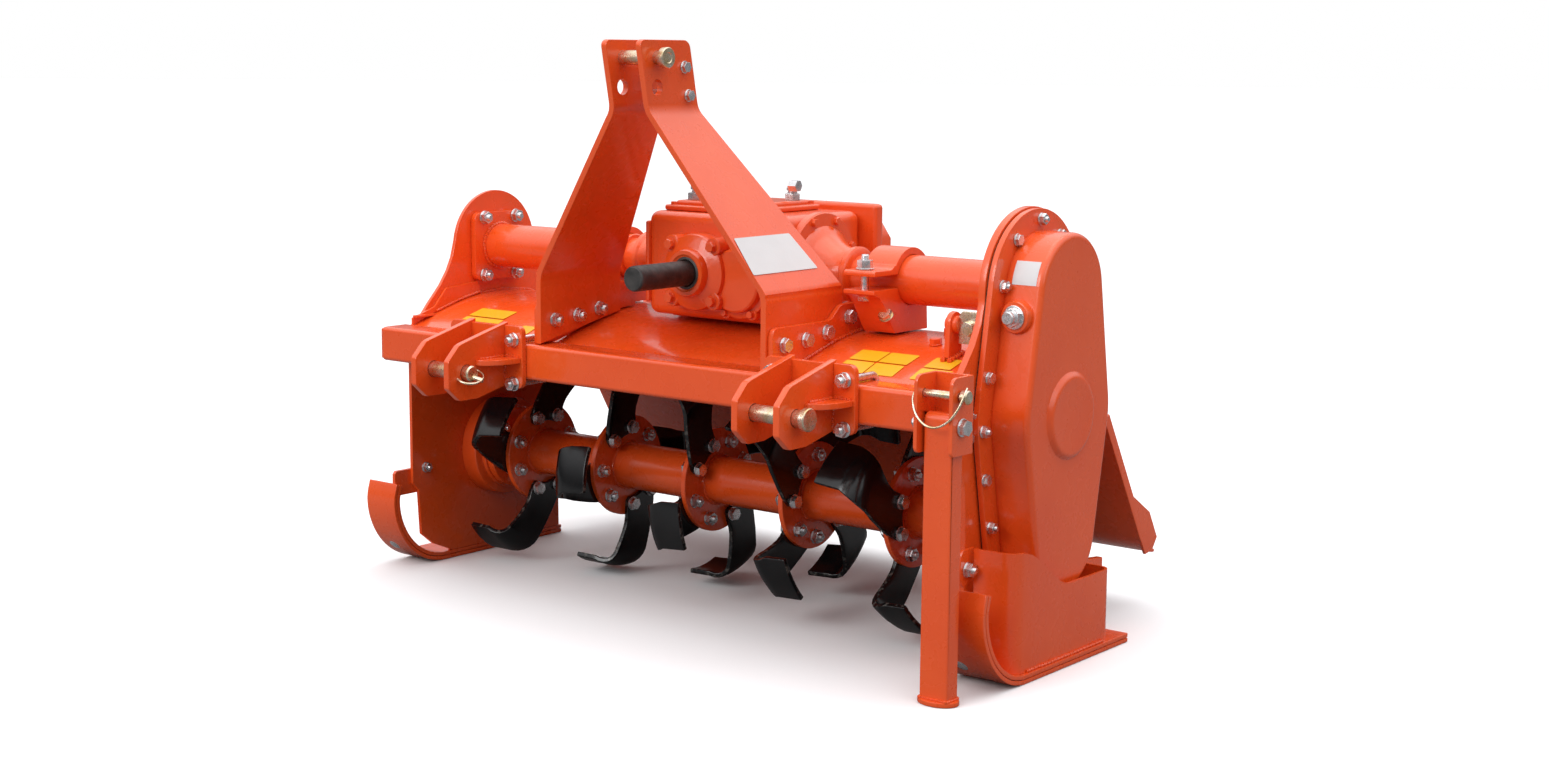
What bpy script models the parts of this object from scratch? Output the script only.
"""Rotary tiller for a small tractor's three-point linkage. Metres, +Z up, -Y towards the tractor.

Every size below is measured from the middle of the mast (x), the parking leg (y) and the ground (z).
The whole machine then hangs from one empty that puts the middle of its footprint at the origin.
"""
import math

import bmesh
import bpy
from mathutils import Matrix, Vector

# ---------------------------------------------------------------- driving dimensions
GAP = 0.0003                       # between pieces that touch
MACHINE_SHIFT = (0.0155, -0.2556, 0.0)

PLATE = 0.006                      # side plates and skids
BEAM_FRONT, BEAM_SIDE = 0.022, 0.050
BEAM_TOP = 0.3705
BEAM_LEFT, BEAM_RIGHT = -0.516, 0.486
BEAM_REAR = BEAM_FRONT + BEAM_SIDE

LEFT_PLATE_X = -0.513              # outer face
RIGHT_PLATE_X = 0.448              # inner face
RIGHT_PLATE_THICK = 0.010
SHAFT_Y, SHAFT_Z = 0.250, 0.478    # cross shaft, inside the top tube
ROTOR_Z = 0.166
IDLER_Z = (SHAFT_Z + ROTOR_Z) / 2

TUBE_R = 0.033
NECK_R = 0.027
ROTOR_TUBE_R = 0.0345
BLADE_R = 0.1600
FLANGE_R = 0.075
FLANGE_THICK = 0.008
FLANGE_X = (-0.410, -0.235, -0.060, 0.115, 0.290)
# root angle of each disc's first blade, from straight ahead and turning down
FLANGE_TURN = (0.0, 22.5, 45.0, 67.5, 88.0)
SHANK_THICK = 0.007
WING_LENGTH = 0.072

MAST_TOP, MAST_BEND_HIGH, MAST_BEND_LOW = 0.789, 0.697, 0.467
MAST_INSIDE_TOP, MAST_INSIDE_LOW = 0.0255, 0.1945
MAST_THICK = 0.009
LINK_X = 0.286
LINK_PIN_Y, LINK_PIN_Z = -0.060, 0.336
LINK_PIN_R = 0.011
LEG_X = 0.497
LEG_PIVOT = (-0.003, 0.3400)
HINGE_Y, HINGE_Z = 0.436, 0.300
BOARD_LEAN = math.radians(31.0)
QUADRANT_R = 0.100
QUADRANT_X = 0.300

ENAMEL = (0.78, 0.075, 0.016, 1.0)
BLACK = (0.010, 0.010, 0.012, 1.0)
STEEL = (0.42, 0.41, 0.40, 1.0)
GOLD_ZINC = (0.52, 0.43, 0.22, 1.0)
DARK_STEEL = (0.06, 0.06, 0.065, 1.0)
CORK = (0.10, 0.045, 0.02, 1.0)

for old in list(bpy.data.objects):
    bpy.data.objects.remove(old, do_unlink=True)

machine = bpy.data.collections.new("rotary_tiller")
helpers = bpy.data.collections.new("helpers")
for group in (machine, helpers):
    bpy.context.scene.collection.children.link(group)

origin = bpy.data.objects.new("machine_origin", None)
origin.location = MACHINE_SHIFT
machine.objects.link(origin)


# ---------------------------------------------------------------- making and joining shapes
def paint(name, colour, roughness, metallic):
    """A plain Principled material."""
    material = bpy.data.materials.new(name)
    material.use_nodes = True
    shader = material.node_tree.nodes["Principled BSDF"]
    shader.inputs["Base Color"].default_value = colour
    shader.inputs["Roughness"].default_value = roughness
    shader.inputs["Metallic"].default_value = metallic
    return material


FINISHES = {
    "enamel": (ENAMEL, 0.30, 0.0),
    "black": (BLACK, 0.22, 0.0),
    "zinc": (STEEL, 0.35, 1.0),
    "gold": (GOLD_ZINC, 0.40, 1.0),
    "dark": (DARK_STEEL, 0.50, 0.6),
    "cork": (CORK, 0.85, 0.0),
}


def keep(obj, finish, parent=None):
    """File a finished piece under its own material and its parent."""
    obj.data.materials.clear()
    obj.data.materials.append(paint(obj.name, *FINISHES[finish]))
    for group in obj.users_collection:
        group.objects.unlink(obj)
    machine.objects.link(obj)
    obj.parent = parent or origin
    if parent:
        obj.matrix_parent_inverse = Matrix.Translation(-Vector(parent.location))
    return obj


def helper(obj):
    """A cutter or an addition: hidden, and not a piece of the machine."""
    for group in obj.users_collection:
        group.objects.unlink(obj)
    helpers.objects.link(obj)
    obj.hide_render = True
    obj.display_type = "WIRE"
    obj.parent = origin
    return obj


def solid(name, mesh):
    """A mesh object with its normals facing out."""
    work = bmesh.new()
    work.from_mesh(mesh)
    bmesh.ops.recalc_face_normals(work, faces=work.faces)
    work.to_mesh(mesh)
    work.free()
    obj = bpy.data.objects.new(name, mesh)
    bpy.context.scene.collection.objects.link(obj)
    return obj


def rounded(points, radii, steps=4):
    """Corners of an outline, each one turned by an arc where its radius isn't zero."""
    result = []
    count = len(points)
    for index, (corner, radius) in enumerate(zip(points, radii)):
        corner = Vector(corner)
        if radius == 0:
            result.append(tuple(corner))
            continue
        back = (Vector(points[index - 1]) - corner).normalized()
        ahead = (Vector(points[(index + 1) % count]) - corner).normalized()
        half = back.angle(ahead) / 2
        middle = corner + (back + ahead).normalized() * (radius / math.sin(half))
        start = corner + back * (radius / math.tan(half)) - middle
        end = corner + ahead * (radius / math.tan(half)) - middle
        sweep = math.atan2(start.x * end.y - start.y * end.x, start.dot(end))
        for step in range(steps + 1):
            turn = Matrix.Rotation(sweep * step / steps, 2)
            result.append(tuple(middle + turn @ start))
    return result


def arc(centre, radius, start, end, steps):
    """Points on an arc, its angles in degrees from the outline's first axis."""
    angles = [math.radians(start + (end - start) * step / steps) for step in range(steps + 1)]
    return [(centre[0] + radius * math.cos(a), centre[1] + radius * math.sin(a)) for a in angles]


PLANES = {
    "yz": Matrix(((0, 0, 1), (1, 0, 0), (0, 1, 0))),      # outline in y and z, thickness along x
    "xy": Matrix.Identity(3),
}


def flat_plate(name, outline, plane, low, high, holes=()):
    """A plate cut to an outline, between two planes, with round holes given as (u, v, radius)."""
    curve = bpy.data.curves.new(name, "CURVE")
    curve.dimensions = "2D"
    curve.fill_mode = "BOTH"
    curve.extrude = (high - low) / 2
    rings = [outline] + [arc(hole[:2], hole[2], 0, 337.5, 15) for hole in holes]
    for ring in rings:
        spline = curve.splines.new("POLY")
        spline.points.add(len(ring) - 1)
        for point, place in zip(spline.points, ring):
            point.co = (place[0], place[1], 0, 1)
        spline.use_cyclic_u = True
    flat = bpy.data.objects.new(name, curve)
    bpy.context.scene.collection.objects.link(flat)
    bpy.context.view_layer.update()
    mesh = bpy.data.meshes.new_from_object(flat.evaluated_get(bpy.context.evaluated_depsgraph_get()))
    bpy.data.objects.remove(flat)
    middle = (low + high) / 2
    shift = {"yz": (middle, 0, 0), "xy": (0, 0, middle)}[plane]
    mesh.transform(Matrix.Translation(shift) @ PLANES[plane].to_4x4())
    work = bmesh.new()
    work.from_mesh(mesh)
    bmesh.ops.remove_doubles(work, verts=work.verts, dist=0.00001)
    work.to_mesh(mesh)
    work.free()
    return solid(name, mesh)


def block(name, low, high, bevel=0.0, segments=1):
    """A box between two corners, its edges rounded by a Bevel modifier."""
    work = bmesh.new()
    bmesh.ops.create_cube(work, size=1.0)
    size = [b - a for a, b in zip(low, high)]
    bmesh.ops.scale(work, verts=work.verts, vec=size)
    bmesh.ops.translate(work, verts=work.verts, vec=[(a + b) / 2 for a, b in zip(low, high)])
    mesh = bpy.data.meshes.new(name)
    work.to_mesh(mesh)
    work.free()
    obj = solid(name, mesh)
    if bevel:
        edge = obj.modifiers.new("rounded_edges", "BEVEL")
        edge.width = bevel
        edge.segments = segments
    return obj


AXIS_TURN = {
    "x": Matrix.Rotation(math.radians(90), 4, "Y"),
    "y": Matrix.Rotation(math.radians(-90), 4, "X"),
    "z": Matrix.Identity(4),
}


def cone(name, axis, low, high, centre, radius, end_radius=None, sides=32):
    """A round bar or cone along an axis, from low to high, through centre in the other two."""
    work = bmesh.new()
    bmesh.ops.create_cone(work, cap_ends=True, segments=sides, radius1=radius,
                          radius2=radius if end_radius is None else end_radius, depth=high - low)
    place = list(centre)
    place.insert("xyz".index(axis), (low + high) / 2)
    bmesh.ops.transform(work, matrix=Matrix.Translation(place) @ AXIS_TURN[axis], verts=work.verts)
    mesh = bpy.data.meshes.new(name)
    work.to_mesh(mesh)
    work.free()
    return solid(name, mesh)


def combine(obj, operation, others):
    """Join others to a piece, or cut them out of it, with exact Booleans."""
    for other in others:
        step = obj.modifiers.new(operation.lower() + "_" + other.name, "BOOLEAN")
        step.operation = operation
        step.solver = "EXACT"
        step.object = helper(other)
    return obj


def join(obj, *others):
    return combine(obj, "UNION", others)


def cut(obj, *others):
    return combine(obj, "DIFFERENCE", others)


def strip(name, rows, thickness, side):
    """A bent sheet: rows of points across it, given a wall thickness by Solidify."""
    work = bmesh.new()
    previous = None
    for row in rows:
        verts = [work.verts.new(point) for point in row]
        if previous:
            for index in range(len(verts) - 1):
                work.faces.new((previous[index], previous[index + 1], verts[index + 1], verts[index]))
        previous = verts
    mesh = bpy.data.meshes.new(name)
    work.to_mesh(mesh)
    work.free()
    obj = bpy.data.objects.new(name, mesh)
    bpy.context.scene.collection.objects.link(obj)
    wall = obj.modifiers.new("wall", "SOLIDIFY")
    wall.thickness = thickness
    wall.offset = side
    wall.use_even_offset = True
    return obj


# ---------------------------------------------------------------- beam, deck and side plates
BEAM_CORNER = 0.005
beam = block("front_beam", (BEAM_LEFT, BEAM_FRONT, BEAM_TOP - BEAM_SIDE), (BEAM_RIGHT, BEAM_REAR, BEAM_TOP),
             BEAM_CORNER, 2)
keep(beam, "enamel")

DECK_THICK = 0.004
DECK_LINE = ((BEAM_REAR + GAP, 0.3665), (0.120, 0.3840), (0.170, 0.3980), (0.210, 0.4055), (0.260, 0.4085),
             (0.320, 0.4030), (0.370, 0.3840), (0.405, 0.3540), (0.428, 0.3150))
DECK_LEFT, DECK_RIGHT = LEFT_PLATE_X + PLATE + GAP, RIGHT_PLATE_X - GAP
deck = strip("deck_sheet", [[(DECK_LEFT, y, z), (DECK_RIGHT, y, z)] for y, z in DECK_LINE], DECK_THICK, -1)
keep(deck, "enamel")


def deck_height(y):
    """Height of the deck's upper face at a distance from front to rear."""
    for (y0, z0), (y1, z1) in zip(DECK_LINE, DECK_LINE[1:]):
        if y <= y1:
            return z0 + (z1 - z0) * (y - y0) / (y1 - y0)
    return DECK_LINE[-1][1]


SKID_TOP = 2 * PLATE + GAP          # skid bar lying on its wear shoe
PLATE_FRONT = BEAM_REAR + GAP
left_outline = (
    [(PLATE_FRONT, 0.128), (0.084, 0.116), (0.0885, 0.048), (0.112, 0.029), (0.150, SKID_TOP + GAP),
     (0.386, SKID_TOP + GAP), (0.386, 0.330), (0.362, 0.396), (0.341, 0.440)]
    + arc((SHAFT_Y, SHAFT_Z), 0.084, -8, 172, 12)
    + [(0.158, 0.462), (0.140, 0.430), (0.110, 0.398), (PLATE_FRONT + 0.012, BEAM_TOP - 0.002),
       (PLATE_FRONT, BEAM_TOP - 0.002)])
left_plate = flat_plate("side_plate_left", left_outline, "yz", LEFT_PLATE_X, LEFT_PLATE_X + PLATE)
keep(left_plate, "enamel")

CASE_FLANGE = 0.028                 # flange standing out round the gear cover


def case_outline(margin):
    """The gear case from the side: three gears in a row, their circles joined by straight flanks."""
    gears = ((SHAFT_Z, 0.076 + margin), (IDLER_Z, 0.102 + margin), (ROTOR_Z, 0.074 + margin))
    span = SHAFT_Z - IDLER_Z
    lean = math.degrees(math.asin((gears[1][1] - gears[0][1]) / span))
    under = math.degrees(math.asin((gears[1][1] - gears[2][1]) / span))
    return (arc((SHAFT_Y, gears[0][0]), gears[0][1], lean, 180 - lean, 12)
            + arc((SHAFT_Y, gears[1][0]), gears[1][1], 180 - lean, 180 + under, 3)
            + arc((SHAFT_Y, gears[2][0]), gears[2][1], 180 + under, 360 - under, 12)
            + arc((SHAFT_Y, gears[1][0]), gears[1][1], -under, lean, 3))


right_outline = (
    [(PLATE_FRONT, BEAM_TOP - 0.052), (0.108, 0.240), (0.112, 0.158), (0.112, 0.060),
     (0.150, SKID_TOP + GAP), (0.4580, SKID_TOP + GAP), (0.4580, 0.092), (0.400, 0.098), (0.386, 0.330),
     (0.380, 0.372), (0.366, 0.420)]
    + arc((SHAFT_Y, SHAFT_Z), 0.106, -5, 185, 14)
    + [(0.130, 0.428), (0.108, 0.400), (PLATE_FRONT + 0.012, BEAM_TOP - 0.002),
       (PLATE_FRONT, BEAM_TOP - 0.002)])
right_plate = flat_plate("side_plate_right", right_outline, "yz", RIGHT_PLATE_X,
                         RIGHT_PLATE_X + RIGHT_PLATE_THICK)
keep(right_plate, "enamel")

# ---------------------------------------------------------------- gear case on the right
GASKET_X = RIGHT_PLATE_X + RIGHT_PLATE_THICK + GAP
GASKET_THICK = 0.0016
COVER_X = GASKET_X + GASKET_THICK + GAP
COVER_FACE = 0.522
gasket = flat_plate("gear_case_gasket", case_outline(CASE_FLANGE - 0.002), "yz", GASKET_X,
                    GASKET_X + GASKET_THICK)
keep(gasket, "cork")
cover = flat_plate("gear_case_cover", case_outline(0.0), "yz", COVER_X + 0.004, COVER_FACE)
soft = cover.modifiers.new("pressed_edge", "BEVEL")
soft.width = 0.007
soft.segments = 2
soft.limit_method = "ANGLE"
soft.angle_limit = math.radians(50)
join(cover,
     flat_plate("cover_flange", case_outline(CASE_FLANGE), "yz", COVER_X, COVER_X + 0.008),
     cone("idler_boss", "x", COVER_FACE - 0.005, COVER_FACE + 0.006, (SHAFT_Y, IDLER_Z), 0.055, 0.048))
keep(cover, "enamel")

PLUG_Y, PLUG_Z = 0.158, 0.452
plug = cone("filler_plug", "y", PLUG_Y - 0.022, PLUG_Y - 0.008, (0.492, PLUG_Z), 0.0115, sides=6)
join(plug, cone("plug_seat", "y", PLUG_Y - 0.0085, PLUG_Y - 0.0005, (0.492, PLUG_Z), 0.014))
keep(plug, "zinc")

# ---------------------------------------------------------------- skids, wear shoes and guard
SKID_LINE = ((0.0400, 0.1320), (0.0340, 0.1060), (0.0380, 0.0760), (0.0520, 0.0460), (0.0740, 0.0220),
             (0.1020, 0.0060), (0.1300, 0.0))
SKID_REAR = 0.392


def skid_line(lift):
    """The runner's underside, or a line parallel to it that much higher."""
    points = [Vector(p) for p in SKID_LINE] + [Vector((SKID_REAR, 0.0))]
    line = []
    for index, point in enumerate(points):
        before = points[max(index - 1, 0)]
        after = points[min(index + 1, len(points) - 1)]
        along = (after - before).normalized()
        line.append((point.x - along.y * lift, point.y + along.x * lift))
    return line


def runner(name, x_low, x_high, lift):
    """A strip of plate bent up at its front end."""
    line = skid_line(lift)
    outline = line + skid_line(lift + PLATE)[::-1]
    return flat_plate(name, outline, "yz", x_low, x_high)


LEFT_SKID = (-0.5680, -0.5070)
RIGHT_SKID = (0.4480, 0.5370)
for label, (x_low, x_high) in (("left", LEFT_SKID), ("right", RIGHT_SKID)):
    keep(runner("wear_shoe_" + label, x_low, x_high, 0.0), "enamel")
    skid = runner("skid_" + label, x_low, x_high, PLATE + GAP)
    if label == "left":
        strap_line = ((0.0480, 0.150), (0.0480, 0.112), (0.112, 0.112), (0.112, 0.150))
        strap = flat_plate("skid_strap", strap_line, "yz", LEFT_PLATE_X - PLATE - GAP, LEFT_PLATE_X - GAP)
        join(skid, strap)
    keep(skid, "enamel")

GUARD_THICK = 0.004
GUARD_X = 0.5285
guard_rows = []
for x, y, top in ((GASKET_X + 0.012, 0.118, 0.166), (GUARD_X - 0.020, 0.118, 0.166),
                  (GUARD_X - 0.006, 0.124, 0.164), (GUARD_X, 0.138, 0.158),
                  (GUARD_X, 0.180, 0.140), (GUARD_X, 0.215, 0.114), (GUARD_X, 0.250, 0.108),
                  (GUARD_X, 0.330, 0.108),
                  (GUARD_X - 0.006, 0.344, 0.108), (GUARD_X - 0.020, 0.350, 0.108),
                  (GASKET_X + 0.012, 0.350, 0.108)):
    guard_rows.append([(x, y, SKID_TOP + (GAP if y > 0.130 else 0.0060)), (x, y, top)])
guard = strip("gear_guard", guard_rows, GUARD_THICK, 0)
keep(guard, "enamel")

# ---------------------------------------------------------------- bearing housing on the left
HOUSING_END = -0.476
housing = cone("bearing_housing", "x", LEFT_PLATE_X + PLATE + GAP, HOUSING_END, (SHAFT_Y, ROTOR_Z), 0.076)
join(housing, cone("housing_lip", "x", HOUSING_END - 0.002, HOUSING_END + 0.006, (SHAFT_Y, ROTOR_Z), 0.064))
keep(housing, "enamel")

# ---------------------------------------------------------------- top tubes and gearbox
FLANGE_SIDE = 0.052
BODY_LEFT, BODY_RIGHT = -0.105, 0.118
BODY_FRONT, BODY_REAR = 0.150, 0.352
BODY_LOW, BODY_HIGH = 0.4120, 0.5560
SIDE_COVER = 0.012
TRUMPET_END = 0.056
TUBE_START = BODY_RIGHT + SIDE_COVER + TRUMPET_END + 0.030

FLANGE_FRONT, FLANGE_REAR = SHAFT_Y - FLANGE_SIDE, SHAFT_Y + FLANGE_SIDE
FLANGE_LOW, FLANGE_HIGH = SHAFT_Z - FLANGE_SIDE, SHAFT_Z + FLANGE_SIDE
TUBE_FLANGE = 0.010
for label, tube_ends, flange_ends in (
        ("left", (LEFT_PLATE_X + PLATE + GAP, -TUBE_START - GAP),
         (LEFT_PLATE_X + PLATE + GAP, LEFT_PLATE_X + PLATE + TUBE_FLANGE)),
        ("right", (TUBE_START + GAP, RIGHT_PLATE_X - GAP),
         (RIGHT_PLATE_X - TUBE_FLANGE, RIGHT_PLATE_X - GAP))):
    tube = cone("top_tube_" + label, "x", *tube_ends, (SHAFT_Y, SHAFT_Z), TUBE_R)
    join(tube, block("tube_flange_" + label, (flange_ends[0], FLANGE_FRONT, FLANGE_LOW),
                     (flange_ends[1], FLANGE_REAR, FLANGE_HIGH), 0.003))
    keep(tube, "enamel")

body = block("gearbox_body", (BODY_LEFT, BODY_FRONT, BODY_LOW), (BODY_RIGHT, BODY_REAR, BODY_HIGH), 0.014, 2)
keep(body, "enamel")
lid = block("gearbox_lid", (-0.090, 0.170, BODY_HIGH + GAP), (0.062, 0.330, BODY_HIGH + 0.014), 0.004)
keep(lid, "enamel")
BREATHER_PLACE = (-0.060, 0.205)
breather = cone("breather_plug", "z", BODY_HIGH + 0.014 + GAP, BODY_HIGH + 0.026, BREATHER_PLACE, 0.012,
                sides=6)
join(breather, cone("breather_cap", "z", BODY_HIGH + 0.025, BODY_HIGH + 0.034, BREATHER_PLACE, 0.0075, 0.006,
                    sides=16))
keep(breather, "zinc")
rear_cover = block("gearbox_rear_cover", (-0.060, BODY_REAR + GAP, 0.4300), (0.142, BODY_REAR + 0.055, 0.566),
                   0.012, 2)
keep(rear_cover, "enamel")

for label, side in (("left", -1), ("right", 1)):
    face = -BODY_LEFT if side < 0 else BODY_RIGHT
    ends = sorted((side * (face + GAP), side * (face + SIDE_COVER)))
    cover_disc = cone("gearbox_side_cover_" + label, "x", ends[0], ends[1], (SHAFT_Y, SHAFT_Z + 0.008), 0.074)
    trumpet_ends = sorted((side * (face + SIDE_COVER - 0.002), side * (BODY_RIGHT + SIDE_COVER + TRUMPET_END)))
    radii = (0.036, 0.064) if side < 0 else (0.064, 0.036)
    neck_ends = sorted((side * (BODY_RIGHT + SIDE_COVER + TRUMPET_END - 0.002), side * TUBE_START))
    join(cover_disc,
         cone("trumpet_" + label, "x", trumpet_ends[0], trumpet_ends[1], (SHAFT_Y, SHAFT_Z), *radii),
         cone("neck_" + label, "x", neck_ends[0], neck_ends[1], (SHAFT_Y, SHAFT_Z), NECK_R))
    keep(cover_disc, "enamel")

SEAL_FRONT = 0.108
front_cover = cone("gearbox_front_cover", "y", SEAL_FRONT + 0.012, BODY_FRONT - GAP, (0.0, SHAFT_Z), 0.052)
for quarter in range(4):
    angle = math.radians(45 + 90 * quarter)
    centre = (0.052 * math.cos(angle), SHAFT_Z + 0.052 * math.sin(angle))
    join(front_cover, cone(f"cover_lobe_{quarter}", "y", SEAL_FRONT + 0.014, BODY_FRONT - GAP, centre, 0.013,
                           sides=16))
join(front_cover, cone("seal_ring", "y", SEAL_FRONT, SEAL_FRONT + 0.013, (0.0, SHAFT_Z), 0.030))
cut(front_cover, cone("seal_bore", "y", SEAL_FRONT - 0.01, BODY_FRONT - 0.006, (0.0, SHAFT_Z), 0.0190))
keep(front_cover, "enamel")

pto_axis = bpy.data.objects.new("pto_axis", None)
pto_axis.location = (0.0, SEAL_FRONT, SHAFT_Z)
pto_axis.parent = origin
machine.objects.link(pto_axis)
pto = cone("pto_shaft", "y", 0.004, BODY_FRONT - 0.007, (0.0, SHAFT_Z), 0.0172)
tip = pto.modifiers.new("tip_chamfer", "BEVEL")
tip.width = 0.0015
tip.limit_method = "ANGLE"
tip.angle_limit = math.radians(60)
keep(pto, "dark", pto_axis)

# ---------------------------------------------------------------- pipe clamps that carry the gearbox and tubes
CLAMP_X = (0.226, 0.276)
CLAMP_R = 0.0430
EAR_Y = 0.164
for label, side in (("left", -1), ("right", 1)):
    low, high = sorted((side * CLAMP_X[0], side * CLAMP_X[1]))
    clamp = cone("tube_clamp_" + label, "x", low, high, (SHAFT_Y, SHAFT_Z), CLAMP_R)
    join(clamp,
         block("clamp_ears_" + label, (low, EAR_Y, SHAFT_Z - 0.016), (high, SHAFT_Y, SHAFT_Z + 0.016)),
         block("clamp_foot_" + label, (low + 0.008, 0.212, 0.4095), (high - 0.008, 0.288, SHAFT_Z - 0.030)))
    cut(clamp,
        cone("clamp_bore_" + label, "x", low - 0.01, high + 0.01, (SHAFT_Y, SHAFT_Z), TUBE_R + GAP),
        block("clamp_slot_" + label, (low - 0.01, EAR_Y - 0.01, SHAFT_Z - 0.009),
              (high + 0.01, SHAFT_Y - 0.020, SHAFT_Z + 0.009)))
    keep(clamp, "enamel")

# ---------------------------------------------------------------- mast
LEAN_FRONT = {"top": -0.020, "high": -0.002, "low": 0.030}
LEAN_REAR = {"top": 0.078, "high": 0.097, "low": 0.194}


def mast_rows(side):
    """Rows across the bar from its top down: upright, sloping out, upright again."""
    path = [(MAST_INSIDE_TOP, MAST_TOP), (MAST_INSIDE_TOP, MAST_BEND_HIGH), (MAST_INSIDE_LOW, MAST_BEND_LOW),
            (MAST_INSIDE_LOW, BEAM_TOP)]
    bends = rounded(path, (0, 0.030, 0.024, 0), 4)
    rows = []
    for x, z in bends[:-1]:
        if z >= MAST_BEND_HIGH:
            share = (MAST_TOP - z) / (MAST_TOP - MAST_BEND_HIGH)
            front = LEAN_FRONT["top"] + share * (LEAN_FRONT["high"] - LEAN_FRONT["top"])
            rear = LEAN_REAR["top"] + share * (LEAN_REAR["high"] - LEAN_REAR["top"])
        else:
            share = min(1.0, (MAST_BEND_HIGH - z) / (MAST_BEND_HIGH - MAST_BEND_LOW))
            front = LEAN_FRONT["high"] + share * (LEAN_FRONT["low"] - LEAN_FRONT["high"])
            rear = LEAN_REAR["high"] + share * (LEAN_REAR["low"] - LEAN_REAR["high"])
        rows.append([(side * x, front, z), (side * x, rear, z)])
    rows.append([(side * MAST_INSIDE_LOW, LEAN_FRONT["low"], BEAM_TOP + 0.0015),
                 (side * MAST_INSIDE_LOW, LEAN_REAR["low"], deck_height(LEAN_REAR["low"]) + 0.0025)])
    return rows


BRACKET_THICK = 0.008
PIN_Y, PIN_Z, LOWER_HOLE_Z = 0.014, 0.766, 0.728
TOP_PIN_R = 0.0095
for label, side in (("left", -1), ("right", 1)):
    bar = strip("mast_bar_" + label, mast_rows(side), MAST_THICK, -side)
    for number, height in enumerate((PIN_Z, LOWER_HOLE_Z)):
        low, high = sorted((side * (MAST_INSIDE_TOP - 0.01), side * (MAST_INSIDE_TOP + 0.03)))
        cut(bar, cone(f"mast_hole_{label}_{number}", "x", low, high, (PIN_Y, height), TOP_PIN_R + GAP,
                      sides=24))
    keep(bar, "enamel")

    bar_outside = MAST_INSIDE_LOW + MAST_THICK
    low, high = sorted((side * (bar_outside + GAP), side * (bar_outside + BRACKET_THICK)))
    foot = [(0.034, BEAM_TOP + 0.0012), (BEAM_REAR, BEAM_TOP + 0.0012)]
    foot += [(y, deck_height(y) + 0.0015) for y in (0.120, 0.170, 0.210)]
    foot += [(0.236, deck_height(0.236) + 0.0015), (0.236, 0.446), (0.180, 0.446), (0.156, 0.427),
             (0.040, 0.427), (0.034, 0.421)]
    keep(flat_plate("mast_bracket_" + label, foot, "yz", low, high), "enamel")

pin = cone("top_link_pin", "x", -0.050, 0.046, (PIN_Y, PIN_Z), TOP_PIN_R, sides=24)
join(pin, cone("top_pin_head", "x", 0.045, 0.054, (PIN_Y, PIN_Z), 0.0135, sides=24))
keep(pin, "gold")

# ---------------------------------------------------------------- lower link brackets and pins
CHEEK = 0.0100
CHEEK_GAP = 0.0550
for label, side in (("left", -1), ("right", 1)):
    middle = side * LINK_X
    cheek_line = rounded(((0.0210, 0.4000), (-0.072, 0.3760), (-0.094, 0.3530), (-0.094, 0.3180),
                          (-0.072, 0.2980), (-0.040, 0.2980), (0.0210, 0.3120)),
                         (0, 0.004, 0.004, 0.004, 0.004, 0, 0), 1)
    hole = (LINK_PIN_Y, LINK_PIN_Z, LINK_PIN_R + GAP)
    inner = middle - CHEEK_GAP / 2
    outer = middle + CHEEK_GAP / 2
    bracket = flat_plate("link_bracket_" + label, cheek_line, "yz", inner - CHEEK, inner, (hole,))
    wings = ((inner - CHEEK - 0.034, inner - CHEEK + 0.001), (outer + CHEEK - 0.001, outer + CHEEK + 0.034))
    join(bracket,
         flat_plate("second_cheek_" + label, cheek_line, "yz", outer, outer + CHEEK, (hole,)),
         block("bracket_back_" + label, (inner - 0.001, 0.0130, 0.3120), (outer + 0.001, 0.0212, 0.3950)),
         *[block(f"bracket_wing_{number}_{label}", (ends[0], 0.0132, 0.3080), (ends[1], 0.0214, 0.3960))
           for number, ends in enumerate(wings)])
    keep(bracket, "enamel")
    reach = CHEEK_GAP / 2 + CHEEK + 0.012
    link_pin = cone("link_pin_" + label, "x", middle - reach, middle + reach, (LINK_PIN_Y, LINK_PIN_Z),
                    LINK_PIN_R, sides=24)
    head_ends = sorted((middle + reach - 0.001, middle + reach + 0.009))
    if label == "right":
        join(link_pin, cone("pin_head_right", "x", *head_ends, (LINK_PIN_Y, LINK_PIN_Z), 0.0145, sides=24))
    keep(link_pin, "gold")

# ---------------------------------------------------------------- parking leg and its bracket
EAR_INSIDE = 0.0225
EAR_THICK = 0.005
EAR_FRONT = -0.0230
WEB_Y = (0.0166, BEAM_FRONT - GAP)
leg_bracket = block("stand_bracket", (LEG_X - EAR_INSIDE - EAR_THICK, WEB_Y[0], 0.3100),
                    (LEG_X + EAR_INSIDE + EAR_THICK, WEB_Y[1], 0.4000))
ear_line = rounded(((EAR_FRONT, 0.3060), (WEB_Y[1], 0.3060), (WEB_Y[1], 0.4000), (EAR_FRONT, 0.3960)),
                   (0.006, 0, 0, 0.010), 3)
for number, side in enumerate((-1, 1)):
    low, high = sorted((LEG_X + side * EAR_INSIDE, LEG_X + side * (EAR_INSIDE + EAR_THICK)))
    join(leg_bracket, flat_plate(f"bracket_ear_{number}", ear_line, "yz", low, high))
lock_hole = cone("lock_hole", "x", LEG_X - 0.05, LEG_X + 0.05, (-0.007, 0.3770), 0.0050 + GAP, sides=16)
pivot_hole = cone("pivot_hole", "x", LEG_X - 0.05, LEG_X + 0.05, LEG_PIVOT, 0.0060 + GAP, sides=16)
cut(leg_bracket, lock_hole, pivot_hole)
keep(leg_bracket, "enamel")

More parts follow.
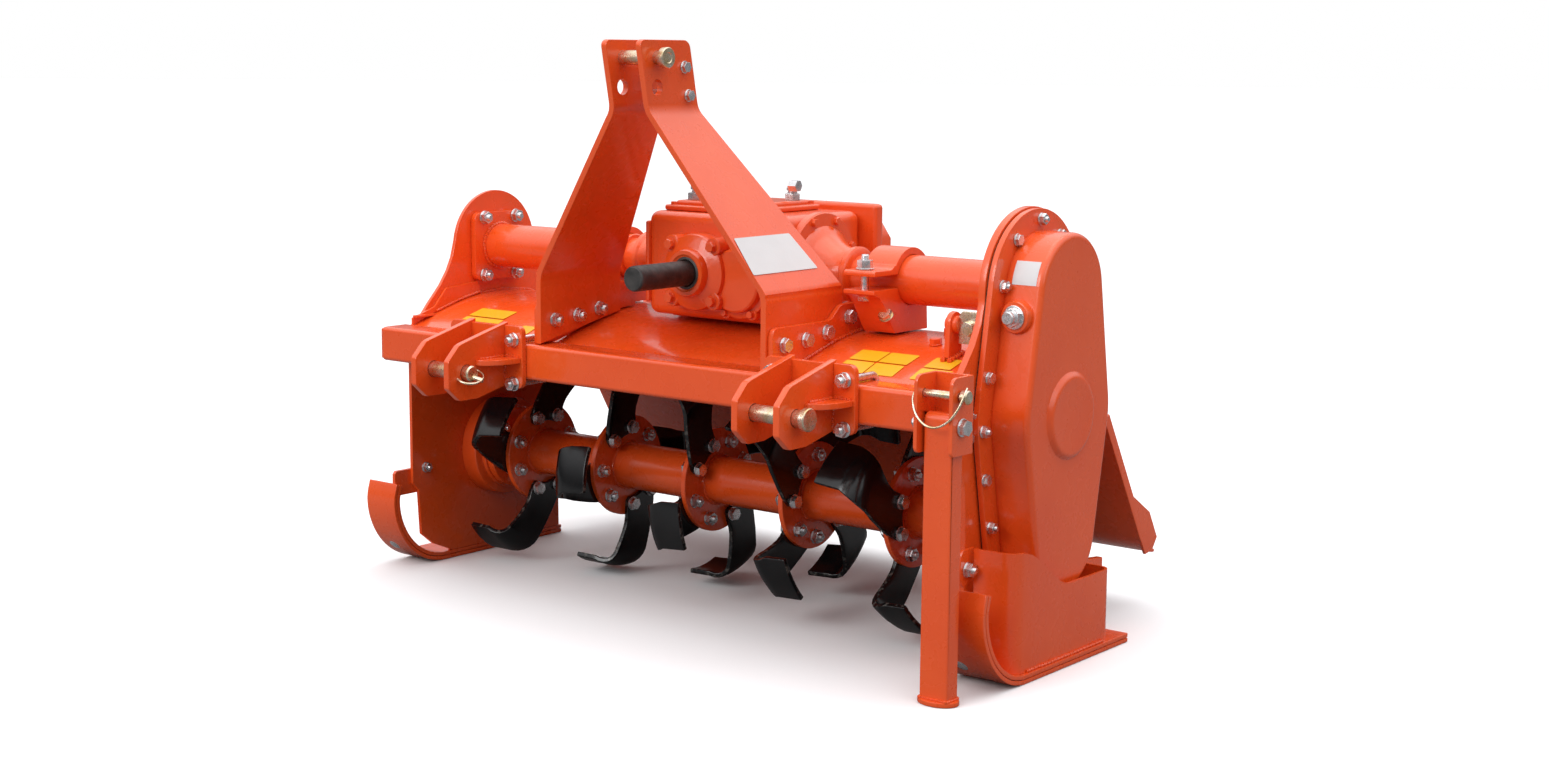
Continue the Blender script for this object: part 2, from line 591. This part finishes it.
lock_pin = cone("stand_lock_pin", "x", LEG_X - 0.0345, LEG_X + 0.0360, (-0.007, 0.3770), 0.0050, sides=16)
join(lock_pin, cone("lock_pin_head", "x", LEG_X + 0.0350, LEG_X + 0.0400, (-0.007, 0.3770), 0.0085, sides=16))
keep(lock_pin, "gold")
pivot_bolt = cone("stand_pivot_bolt", "x", LEG_X - 0.0280, LEG_X + 0.0280, LEG_PIVOT, 0.0060, sides=16)
for number, side in enumerate((-1, 1)):
    ear_outside = EAR_INSIDE + EAR_THICK
    low, high = sorted((LEG_X + side * (ear_outside + GAP), LEG_X + side * (ear_outside + 0.009)))
    join(pivot_bolt, cone(f"bolt_head_{number}", "x", low, high, LEG_PIVOT, 0.0105, sides=6))
keep(pivot_bolt, "zinc")

leg_axis = bpy.data.objects.new("leg_axis", None)
leg_axis.location = (LEG_X, *LEG_PIVOT)
leg_axis.parent = origin
machine.objects.link(leg_axis)
LEG_HALF_X, LEG_HALF_Y = 0.0200, 0.0125
leg_line = ([(-LEG_HALF_Y, 0.0055), (LEG_HALF_Y, 0.0055)]
            + arc((LEG_PIVOT[0], LEG_PIVOT[1]), 0.0155, 0, 90, 4)
            + arc((LEG_PIVOT[0], LEG_PIVOT[1] + 0.006), 0.0095, 90, 180, 3))
leg = flat_plate("parking_leg", leg_line, "yz", LEG_X - LEG_HALF_X, LEG_X + LEG_HALF_X,
                 ((LEG_PIVOT[0], LEG_PIVOT[1], 0.0060 + GAP),))
foot_line = [(LEG_X + 0.0275 * math.cos(a), 0.0200 * math.sin(a))
             for a in (math.radians(15 * step) for step in range(24))]
join(leg, flat_plate("leg_foot", foot_line, "xy", 0.0, 0.0060))
keep(leg, "enamel", leg_axis)

# ---------------------------------------------------------------- rotor
rotor_axis = bpy.data.objects.new("rotor_axis", None)
rotor_axis.location = (0.0, SHAFT_Y, ROTOR_Z)
rotor_axis.parent = origin
machine.objects.link(rotor_axis)
ROTOR_LEFT, ROTOR_RIGHT = HOUSING_END + 0.0068, 0.4380
END_FLANGE_R = 0.062
HALF_FLANGE = FLANGE_THICK / 2

rotor = cone("rotor_tube", "x", ROTOR_LEFT, ROTOR_RIGHT, (SHAFT_Y, ROTOR_Z), ROTOR_TUBE_R)
join(rotor,
     cone("rotor_end_left", "x", ROTOR_LEFT, ROTOR_LEFT + 0.012, (SHAFT_Y, ROTOR_Z), END_FLANGE_R),
     cone("rotor_end_right", "x", ROTOR_RIGHT - 0.012, ROTOR_RIGHT, (SHAFT_Y, ROTOR_Z), END_FLANGE_R),
     cone("drive_stub", "x", ROTOR_RIGHT - 0.001, RIGHT_PLATE_X - 0.0006, (SHAFT_Y, ROTOR_Z), 0.024))
keep(rotor, "enamel", rotor_axis)


def blade(name, x_face, turn, side):
    """One bent blade: a shank that sweeps back beside the disc and a wing bent over across the disc's rim."""
    def spot(angle, radius):
        at = math.radians(180 + turn + angle)
        return (x_face, SHAFT_Y + radius * math.cos(at), ROTOR_Z + radius * math.sin(at))

    lead = ((27, 0.052), (24, 0.066), (10, 0.085), (-3, 0.115), (-12, 0.143))
    trail = ((-27, 0.052), (-28, 0.066), (-28, 0.085), (-34, 0.110), (-40, 0.130))
    wing = [(-17 - 6.25 * step, BLADE_R - 0.003 * step) for step in range(5)]
    work = bmesh.new()
    rim = [work.verts.new(spot(a, r)) for a, r in wing]
    inner_rim = [work.verts.new(spot(a, r - SHANK_THICK)) for a, r in wing]
    shank_verts = ([work.verts.new(spot(a, r)) for a, r in lead] + inner_rim
                   + [work.verts.new(spot(a, r)) for a, r in reversed(trail)])
    work.faces.new(shank_verts)
    wing_faces = [work.faces.new((rim[i], rim[i + 1], inner_rim[i + 1], inner_rim[i])) for i in range(4)]
    extruded = bmesh.ops.extrude_face_region(work, geom=work.faces[:])
    moved = [v for v in extruded["geom"] if isinstance(v, bmesh.types.BMVert)]
    bmesh.ops.translate(work, verts=moved, vec=(side * SHANK_THICK, 0, 0))
    level = x_face + side * SHANK_THICK
    tips = [f for f in work.faces if len(f.verts) == 4
            and all(abs(v.co.x - level) < 1e-6 for v in f.verts)
            and f not in wing_faces]
    grown = bmesh.ops.extrude_face_region(work, geom=tips)
    moved = [v for v in grown["geom"] if isinstance(v, bmesh.types.BMVert)]
    bmesh.ops.translate(work, verts=moved, vec=(side * (WING_LENGTH - SHANK_THICK), 0, 0))
    bmesh.ops.delete(work, geom=tips, context="FACES_ONLY")
    mesh = bpy.data.meshes.new(name)
    work.to_mesh(mesh)
    work.free()
    return solid(name, mesh)


for number, x_disc in enumerate(FLANGE_X):
    disc = cone(f"blade_disc_{number + 1}", "x", x_disc - HALF_FLANGE, x_disc + HALF_FLANGE,
                (SHAFT_Y, ROTOR_Z), FLANGE_R)
    cut(disc, cone(f"disc_bore_{number + 1}", "x", x_disc - 0.02, x_disc + 0.02, (SHAFT_Y, ROTOR_Z),
                   ROTOR_TUBE_R + GAP))
    for quarter in range(4):
        mount = 1 if quarter % 2 else -1
        join(disc, blade(f"blade_{number + 1}_{quarter + 1}", x_disc + mount * (HALF_FLANGE - 0.0005 + SHANK_THICK),
                         FLANGE_TURN[number] + 90 * quarter, -mount))
    keep(disc, "black", rotor_axis)

# ---------------------------------------------------------------- trailing board and its quadrants
board_axis = bpy.data.objects.new("board_axis", None)
board_axis.location = (0.0, HINGE_Y, HINGE_Z)
board_axis.parent = origin
machine.objects.link(board_axis)
BOARD_LEFT, BOARD_RIGHT = -0.505, 0.462
BOARD_THICK = 0.004


def board_point(down, back):
    """A point that far down the board from the hinge and that far behind its front face."""
    along = Vector((math.sin(BOARD_LEAN), -math.cos(BOARD_LEAN)))
    across = Vector((math.cos(BOARD_LEAN), math.sin(BOARD_LEAN)))
    place = Vector((HINGE_Y, HINGE_Z)) + along * down + across * back
    return (place.x, place.y)


board_line = [board_point(d, b) for d, b in ((0.0145, 0.0), (0.230, 0.0), (0.250, 0.003), (0.266, 0.011),
                                             (0.276, 0.023), (0.2725, 0.026), (0.263, 0.0145), (0.2485, 0.007),
                                             (0.230, 0.004), (0.0145, 0.004))]
board = flat_plate("trailing_board", board_line, "yz", BOARD_LEFT, BOARD_RIGHT)
end_line = [board_point(d, b) for d, b in ((0.018, 0.001), (0.262, 0.001), (0.270, 0.020), (0.262, 0.040),
                                           (0.215, 0.040), (0.165, 0.014), (0.018, 0.014))]
leaf_line = [board_point(d, b)
             for d, b in ((0.004, 0.0006), (0.022, 0.0006), (0.022, 0.0034), (0.004, 0.0034))]
join(board,
     flat_plate("board_end_left", end_line, "yz", BOARD_LEFT, BOARD_LEFT + 0.004),
     flat_plate("board_end_right", end_line, "yz", BOARD_RIGHT - 0.004, BOARD_RIGHT),
     flat_plate("board_leaf", leaf_line, "yz", -0.440, 0.400),
     cone("board_knuckle", "x", -0.440, 0.400, (HINGE_Y, HINGE_Z), 0.0085, sides=16))
keep(board, "enamel", board_axis)

deck_knuckles = {"left": (DECK_LEFT, -0.4420), "right": (0.4020, DECK_RIGHT)}
for label, (low, high) in deck_knuckles.items():
    knuckle = cone("deck_hinge_" + label, "x", low, high, (HINGE_Y, HINGE_Z), 0.0085, sides=16)
    join(knuckle, flat_plate("hinge_leaf_" + label, ((0.4330, 0.3020), (0.4400, 0.3040), (0.4335, 0.3160),
                                                     (0.4209, 0.3370), (0.4175, 0.3350), (0.4290, 0.3155)),
                             "yz", low, high))
    keep(knuckle, "enamel")

STRAP_THICK = 0.006
for label, side in (("left", -1), ("right", 1)):
    x_strap = side * QUADRANT_X
    ring = arc((HINGE_Y, HINGE_Z), QUADRANT_R + 0.0125, -56, 66, 12)
    ring += arc((HINGE_Y, HINGE_Z), QUADRANT_R - 0.0125, 66, -54, 12)
    quadrant = flat_plate("board_quadrant_" + label, ring, "yz", x_strap, x_strap + STRAP_THICK)
    keep(quadrant, "enamel", board_axis)
    arm_line = [(0.396, 0.3668), (0.370, 0.3862), (0.350, 0.3968), (0.366, 0.4120), (0.430, 0.4180),
                (0.530, 0.3860), (0.536, 0.3680), (0.520, 0.3560), (0.440, 0.3790)]
    x_arm = sorted((x_strap + STRAP_THICK + 0.0015, x_strap + 2 * STRAP_THICK + 0.0015))
    keep(flat_plate("quadrant_arm_" + label, arm_line, "yz", x_arm[0], x_arm[1]), "enamel")
